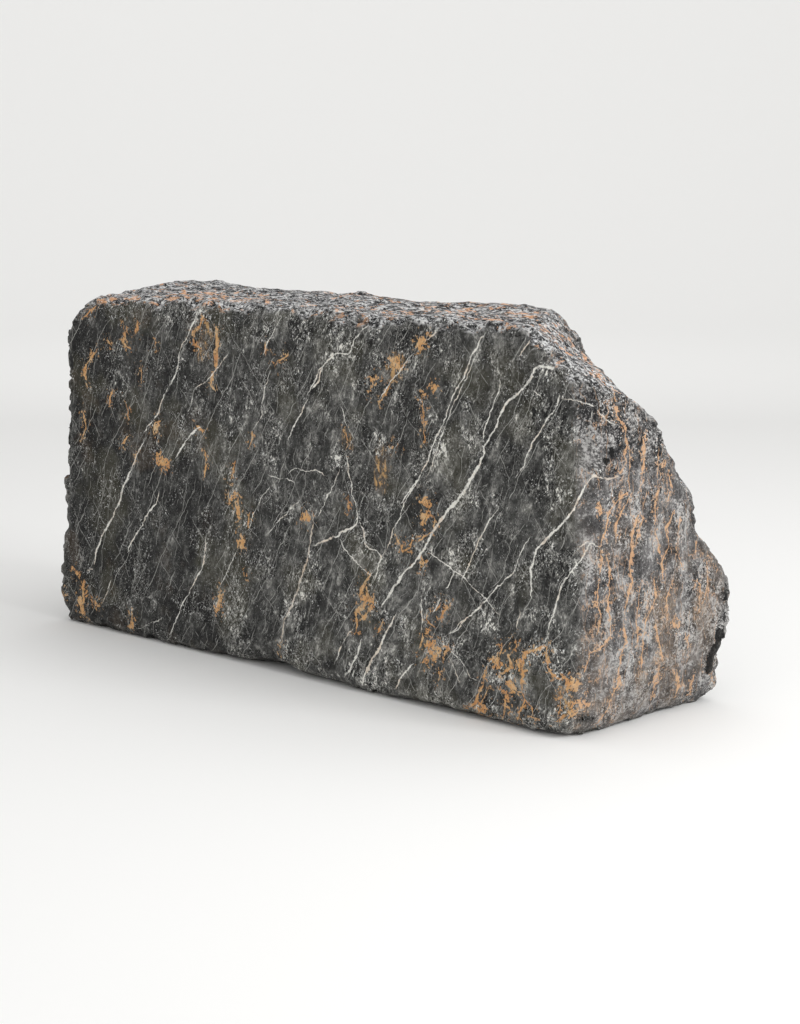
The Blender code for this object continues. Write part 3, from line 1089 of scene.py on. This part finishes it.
def sharedMarks(material):
    # the places, masks and patterns that more than one part of the finish uses
    marks = SimpleNamespace()
    place = Wire(material.node_tree).node("ShaderNodeTexCoord", None, None, "Object")
    marks.place = place
    sides = place.attribute("sides", "Vector")
    marks.top, marks.end, marks.wear = (sides.axis(letter) for letter in "XYZ")
    marks.height = place.axis("Z")
    marks.upper = marks.height.ease(*marble["shoulderHeights"])

    # the same place pushed about, then stretched along the grain, the veins or upright
    bent = place.moved(8.0, marble["warp"])
    marks.bent = bent
    marks.grain = bent.turned((0, marble["grainLean"], 0), (1.0, 1.0, 1.7))
    marks.lean = bent.turned((0, marble["veinLean"], 0), (1.0, 1.0, 4.0))
    marks.upright = bent.turned((0, 0, 0), (1.0, 1.0, 4.5))

    # calm smooth clouds and busy flecked ones
    marks.rim = marks.height.ease(*marble["rimHeights"]) * place.axis("X").ease(0.55, 0.15)
    busy = bent.noise(marble["busyScale"], 4.0, 0.6) + marks.wear * 0.06 + marks.rim * 0.05
    marks.busy = busy.ease(0.45, 0.62)
    marks.lively = marks.busy * 1.05 + 0.32

    # mottle and grain, each about zero
    marks.cloud = centred(place.noise(marble["cloudScale"], 3.0, 0.5))
    marks.mottle = centred(marks.grain.noise(marble["mottleScale"], 4.0, 0.6))
    marks.streaks = centred(marks.grain.noise(marble["grainScale"], 3.0, 0.6))
    marks.slanted = centred(marks.lean.noise(marble["grainScale"] * 1.1, 3.0, 0.6))
    marks.fine = centred(marks.grain.noise(marble["fineScale"], 2.0, 0.6))
    marks.flame = centred(marks.grain.noise(marble["flameScale"], 3.0, 0.65))
    marks.ragged = centred(place.moved(40.0, 0.012).noise(marble["raggedScale"], 3.0, 0.55))

    # flecks stand thicker near the edges
    clusters = bent.noise(marble["clusterScale"], 3.0, 0.6).ease(0.44, 0.66)
    marks.crowd = clusters * 0.055 + marks.wear * 0.02 + marks.rim * 0.025
    slanted = bent.turned((0, marble["fleckLean"], 0), (1.0, 1.0, 1.5))
    marks.fleck = slanted.noise(marble["fleckScale"], 2.0, 0.6)
    marks.pits = bent.noise(marble["pitScale"], 3.0, 0.6).ease(0.63, 0.67)

    # short curled threads
    curls = abs(marks.grain.noise(34.0, 3.0, 0.6) - 0.5).ease(0.012, 0.003)
    curls = curls * place.noise(11.0, 3.0, 0.6).ease(0.48, 0.60)
    curlsFine = abs(bent.noise(82.0, 2.0, 0.5) - 0.5).ease(0.024, 0.008)
    curlsFine = curlsFine * place.noise(16.0, 3.0, 0.6).ease(0.50, 0.62)
    marks.curls = curls.most(curlsFine)

    # the unfolded sheet, for lines that cross a face from edge to edge
    sheet = place.attribute("sheet", "Vector")
    marks.onSheet = sheet.axis("Z")
    flat = place.vectorMaths("MULTIPLY", sheet, (1.0, 1.0, 0.0))
    marks.flat = flat.moved(5.0, 0.07).moved(30.0, 0.014, 3.0)
    return marks


facePaint = {
    # how much each pattern moves the tone
    "cloud": 0.5,
    "mottle": 1.42,
    "grit": 0.75,
    "streaks": 0.9,
    "slanted": 0.6,
    "fine": 1.45,
    "scratches": 0.08,
    "busyScratches": 0.26,
    "busyShade": 0.04,
    "level": 0.385,
    # leftShade and rightShade: the front darker towards the left, partly the stone's own tone and partly
    # painted shade
    "leftShade": -0.230,
    "rightShade": 0.030,
    "tones": ("soot", "deepGrey", "grey", "ash", "paleGrey", "chalk"),
    "toneStops": (0.0, 0.34, 0.55, 0.71, 0.84, 1.0),
    # how far each tint goes
    "olive": 0.16,
    "brown": 0.18,
    "lines": 0.85,
    "hair": 0.9,
    "flecks": 0.8,
    "pits": 0.7,
    # lean in degrees, lines to a metre, share covered, breaks, strength
    "longThreads": (
        (marble["veinLean"], 14.0, 0.15, 5.0, 1.0),
        (12.0, 12.0, 0.13, 5.0, 0.7),
        (-38.0, 9.0, 0.14, 8.0, 0.75),
    ),
    "shortThreads": ((20.0, 30.0, 0.12, 14.0, 0.6),),
}


def faceColour(marks):
    # the sawn front: slow clouds, then mottle, then grain as fine as a brush's hair
    paint = facePaint
    grit = centred(marks.bent.noise(marble["gritScale"], 4.0, 0.65))
    # darker towards the left end: partly the stone's own tone, partly painted shade
    toneAndShadeDrift = marks.place.axis("X").span(-1.0, 0.0, paint["leftShade"], paint["rightShade"])
    scratches = strokes(marks.grain, 15.0, 4.0, 55.0).most(strokes(marks.bent, 24.0, 3.4, 70.0) * 0.9)
    tone = marks.cloud * paint["cloud"] + marks.mottle * paint["mottle"] + grit * paint["grit"]
    tone = tone + scratches * (marks.busy * paint["busyScratches"] + paint["scratches"])
    hair = marks.streaks * paint["streaks"] + marks.slanted * paint["slanted"] + marks.fine * paint["fine"]
    tone = tone + hair * marks.lively - marks.busy * paint["busyShade"]
    body = toned(tone + toneAndShadeDrift + paint["level"], paint["tones"], paint["toneStops"])
    olive = marks.place.noise(5.0, 3.0, 0.5).ease(0.50, 0.66)
    body = body.tinted(colour("olive"), olive * paint["olive"])
    brown = marks.place.noise(7.0, 3.0, 0.5).ease(0.54, 0.68) * marks.place.axis("X").ease(0.0, -0.9)
    body = body.tinted(colour("brown"), brown * paint["brown"])

    # hairlines that lean like the veins, then flecks and small dark pits
    short = hairlines(marks.flat.moved(18.0, 0.04), paint["shortThreads"])
    lines = hairlines(marks.flat, paint["longThreads"]).most(short) * marks.onSheet
    drawn = (lines * paint["lines"]).most(marks.curls * (marks.busy * 0.5 + 0.25))
    body = body.tinted(colour("paleGrey"), drawn * paint["hair"])
    flecks = (marks.fleck + marks.crowd).ease(0.67, 0.69) * (marks.busy * 0.7 + 0.3)
    body = body.tinted(colour("white"), flecks * paint["flecks"])
    return body.tinted(colour("soot"), marks.pits * paint["pits"])


endPaint = {
    # how much each pattern moves the tone low down, and what the shoulder adds to it
    "mottle": (1.7, 1.2),
    "plates": (0.26, 0.40),
    "spots": (0.5, 0.35),
    "level": (0.445, -0.21),
    "cloud": 0.8,
    "grain": 1.5,
    "fine": 3.0,
    "shoulderGrain": 1.5,
    "scratches": 0.26,
    "busyScratches": 0.30,
    "tones": ("endDark", "endGrey", "endPale"),
    "threadTint": 0.5,
    "curlTint": 0.6,
    "netTint": 0.65,
    "warmTint": 0.22,
    "threads": ((6.0, 17.0, 0.14, 7.0, 1.0), (-14.0, 11.0, 0.12, 7.0, 1.0)),
}


def endColour(marks):
    # the right end: paler and warmer, marked upright, with nets of thin warm threads
    paint = endPaint

    def rising(name):
        low, more = paint[name]
        return marks.upper * more + low

    marks.endMottle = centred(marks.bent.turned((0, 0, 0), (1.0, 1.0, 1.8)).noise(11.0, 4.0, 0.6))
    marks.endGrain = centred(marks.upright.noise(70.0, 4.0, 0.7))
    marks.endFine = centred(marks.bent.noise(150.0, 3.0, 0.65))
    scratches = strokes(marks.upright, 17.0, 4.0, 50.0).most(strokes(marks.bent, 30.0, 3.2, 75.0))
    plates = centred(marks.bent.noise(21.0, 5.0, 0.7).ease(0.46, 0.54))
    fineness = marks.endGrain * paint["grain"] + marks.endFine * paint["fine"]
    sharpness = marks.lively + marks.upper * paint["shoulderGrain"]
    tone = marks.endMottle * rising("mottle") + fineness * sharpness
    tone = tone + marks.cloud * paint["cloud"] + plates * rising("plates")
    tone = tone + scratches * (marks.busy * paint["busyScratches"] + paint["scratches"])
    body = toned(tone + rising("level"), paint["tones"])
    spots = marks.bent.noise(14.0, 4.0, 0.65).ease(0.54, 0.57)
    body = body.tinted(colour("endDark"), spots * rising("spots"))
    flecks = (marks.fleck + marks.crowd * 0.8 + 0.01 + marks.upper * 0.03).ease(0.665, 0.685)
    body = body.tinted(colour("white"), flecks * (marks.busy * 0.6 + 0.4))

    lines = hairlines(marks.flat.moved(16.0, 0.05), paint["threads"]) * marks.onSheet
    body = body.tinted(colour("peach"), lines * paint["threadTint"])
    body = body.tinted(colour("paleGrey"), marks.curls * marks.busy * paint["curlTint"])
    net = abs(marks.bent.turned((0, 0, 0), (1.0, 1.0, 2.6)).noise(30.0, 3.0, 0.6) - 0.5).ease(0.020, 0.006)
    net = net * marks.bent.noise(12.0, 3.0, 0.6).ease(0.50, 0.60)
    body = body.tinted(colour("peach"), net * paint["netTint"])
    warmth = marks.bent.noise(6.0, 3.0, 0.6).ease(0.40, 0.62) * marks.height.ease(0.85, 0.30)
    return body.tinted(colour("tan"), warmth * paint["warmTint"])


topPaint = {
    "flakes": 3.6,
    "fine": 5.6,
    # how strongly the painted light and shade on the flake steps shows
    "shelves": 0.9,
    "level": 0.38,
    "tones": ("topDarkAndShadow", "topGrey", "topPale"),
    # gaps: how dark the painted shadow between the flakes is
    "gaps": 0.75,
    "pink": 0.75,
    "flecks": 0.9,
}


def topColour(marks):
    # the broken top: pale, dark and pink flakes, with painted light and shade on the flake steps and
    # painted shadow in the gaps between them
    paint = topPaint
    flaky = marks.place.moved(16.0, 0.04)
    slate = flaky.turned((0, 0, 8.0), (1.8, 1.0, 1.0))
    marks.flakes = centred(slate.noise(46.0, 5.0, 0.7))
    marks.topFine = centred(slate.noise(130.0, 3.0, 0.65))
    # a sawtooth over the flakes, each step lit on one edge and shaded on the other: painted light and
    # shade, which the bump also uses as height
    marks.shelves = centred((slate.noise(30.0, 4.0, 0.6) * 3.2).part())
    tone = marks.flakes * paint["flakes"] + marks.topFine * paint["fine"] + marks.shelves * paint["shelves"]
    body = toned(tone + paint["level"], paint["tones"])
    # painted shadow in the gaps between the flakes
    gaps = flaky.noise(30.0, 4.0, 0.65).ease(0.44, 0.40)
    body = body.tinted(colour("topDarkAndShadow"), gaps * paint["gaps"])
    pink = (slate.noise(32.0, 5.0, 0.75) + marks.place.noise(2.4, 2.0, 0.5) * 0.25).ease(0.70, 0.72)
    body = body.tinted(colour("topPink"), pink * paint["pink"])
    return body.tinted(colour("white"), (marks.fleck + 0.03).ease(0.66, 0.68) * paint["flecks"])


hazePaint = {
    "veil": 0.16,
    "strands": 0.85,
    "strandsLostOnEnd": 0.75,
}


def addHaze(marks, body):
    # tan haze and the strands in it
    haze = marks.place.attribute("tanHaze")
    edge = (haze + centred(marks.place.noise(20.0, 4.0, 0.6)) * 0.08).ease(0.010, -0.020)
    strands = marks.upright.noise(95.0, 3.0, 0.7).ease(0.49, 0.55)
    strands = strands * marks.place.noise(34.0, 3.0, 0.6).ease(0.44, 0.54)
    body = body.tinted(colour("tan"), edge * hazePaint["veil"])
    shown = hazePaint["strands"] - marks.end * hazePaint["strandsLostOnEnd"]
    return body.tinted(colour("sand"), edge * strands * shown)


veinPaint = {
    # metres
    "waveWide": 0.018,
    "waveFine": 0.010,
    "flameReach": 0.004,
    "edge": (-0.0013, 0.0008),
    "fadeUnder": 0.0011,  # a half width below this begins to fade
    "patchRagged": 0.060,
    "patchFlame": 0.020,
    "patchGrow": 0.0022,
    "holeRagged": 0.060,
    "crumbReach": 0.050,
    # noise from and to, then the share of the width that it gives
    "swell": (0.34, 0.66, 0.25, 1.35),
    "bulge": (0.38, 0.62, -0.4, 0.8),
    # shares
    "gold": 0.9,
    "crumbs": 0.9,
    "peachOnEnd": 0.7,
    "wornLeast": 0.54,
    "wornMore": 0.42,
    "stain": 0.3,
    "lostOnTop": 0.6,
    "holes": 0.95,
}


def veinMasks(marks, layerCount):
    # white and gold lines from the mesh, made wavy and uneven, the gold ones ragged too
    place = marks.place
    wobble = centred(place.noise(22.0, 2.0, 0.5)) * veinPaint["waveWide"]
    wobble = wobble + centred(place.noise(80.0, 2.0, 0.5)) * veinPaint["waveFine"]
    swell = place.noise(38.0, 3.0, 0.65).span(*veinPaint["swell"])
    bulge = place.noise(26.0, 2.0, 0.5).span(*veinPaint["bulge"])
    white = None
    gold = None
    for index in range(layerCount):
        field = place.attribute("vein%d" % index, "Vector")
        distance, half, kind = (field.axis(letter) for letter in "XYZ")
        half = half * swell * (bulge * kind + 1.0)
        flame = marks.flame * kind * half.least(veinPaint["flameReach"]) * 3.0
        inside = half + flame - abs(distance + wobble)
        mask = inside.ease(*veinPaint["edge"]) * half.ease(0.0, veinPaint["fadeUnder"])
        pale = mask * (1.0 - kind)
        warm = mask * kind
        white = pale if white is None else white.most(pale)
        gold = warm if gold is None else gold.most(warm)
    return white, gold


def addVeins(marks, body, layerCount):
    # gold with its patches and crumbs, then the white veins, then black flakes and holes
    paint = veinPaint
    white, gold = veinMasks(marks, layerCount)
    marks.white = white
    edge = marks.place.attribute("goldPatch") + marks.ragged * paint["patchRagged"]
    blot = (edge + marks.flame * paint["patchFlame"] + paint["patchGrow"]).ease(0.0008, -0.0008)
    gaps = marks.grain.noise(130.0, 3.0, 0.65).ease(0.59, 0.52)
    near = marks.place.attribute("goldNear").ease(paint["crumbReach"], 0.002)
    crumbs = (marks.bent.noise(75.0, 3.0, 0.65) + near * 0.10).ease(0.68, 0.70) * near
    gold = (gold * (gaps * 0.6 + 0.4)).most(blot * gaps).most(crumbs * paint["crumbs"])
    hue = centred(marks.place.noise(24.0, 4.0, 0.65)) * 1.8 + 0.5
    golden = toned(hue, ("rust", "gold", "cream"))
    peachy = golden.tinted(colour("peach"), marks.end * paint["peachOnEnd"])
    body = body.tinted(peachy, gold * paint["gold"])
    worn = marks.place.noise(60.0, 3.0, 0.6).ease(0.34, 0.52) * paint["wornMore"] + paint["wornLeast"]
    stain = marks.place.noise(12.0, 3.0, 0.6).ease(0.50, 0.62)
    chalky = golden.tinted(colour("chalk"), 1.0 - stain * paint["stain"])
    body = body.tinted(chalky, white * worn * (1.0 - marks.top * paint["lostOnTop"]))
    hole = (marks.place.attribute("darkPatch") + marks.ragged * paint["holeRagged"]).ease(0.0010, -0.0008)
    return body.tinted(colour("soot"), hole * paint["holes"])


def makeMarble():
    material = bpy.data.materials.new("greyGoldMarble")
    material.use_nodes = True
    material.node_tree.nodes.clear()
    return material


def fillMarble(material, layerCount):
    marks = sharedMarks(material)
    body = faceColour(marks).tinted(endColour(marks), marks.end)
    body = addHaze(marks, body).tinted(topColour(marks), marks.top)
    body = addVeins(marks, body, layerCount)
    bruised = marks.wear * marks.bent.noise(60.0, 4.0, 0.7).ease(0.44, 0.60)
    body = body.tinted(colour("paleGrey"), bruised * marble["bruises"])

    rough = marks.mottle * 0.3 + marble["roughness"] - marks.white * 0.05 + marks.top * 0.15
    relief = marks.fine * 0.5 + marks.mottle + marks.streaks * 0.5 - marks.pits * 0.5
    relief = relief + (marks.endGrain * 3.5 + marks.endFine * 3.0 + marks.endMottle * 6.0) * marks.end
    relief = relief + (marks.flakes * 3.0 + marks.topFine * 1.5 + marks.shelves * 1.5) * marks.top
    sockets = {"Strength": marble["bumpStrength"], "Distance": marble["bumpDistance"], "Height": relief}
    surface = body.node(
        "ShaderNodeBsdfPrincipled",
        None,
        {
            "Base Color": body,
            "Roughness": rough.least(0.95),
            "Normal": body.node("ShaderNodeBump", None, sockets),
            "Specular IOR Level": marble["specular"],
        },
    )
    finish = material.node_tree.nodes.new("ShaderNodeOutputMaterial")
    material.node_tree.links.new(surface.socket, finish.inputs["Surface"])


material = makeMarble()
block = carveRelief(fineCopy(), material)
print("stone surface", len(block.data.polygons), "faces")
layerCount = writeVeins(block)
print("veins on", layerCount, "layers")
fillMarble(material, layerCount)
print("marble has", len(material.node_tree.nodes), "nodes")

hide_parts("marble_block")
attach(block, "root")
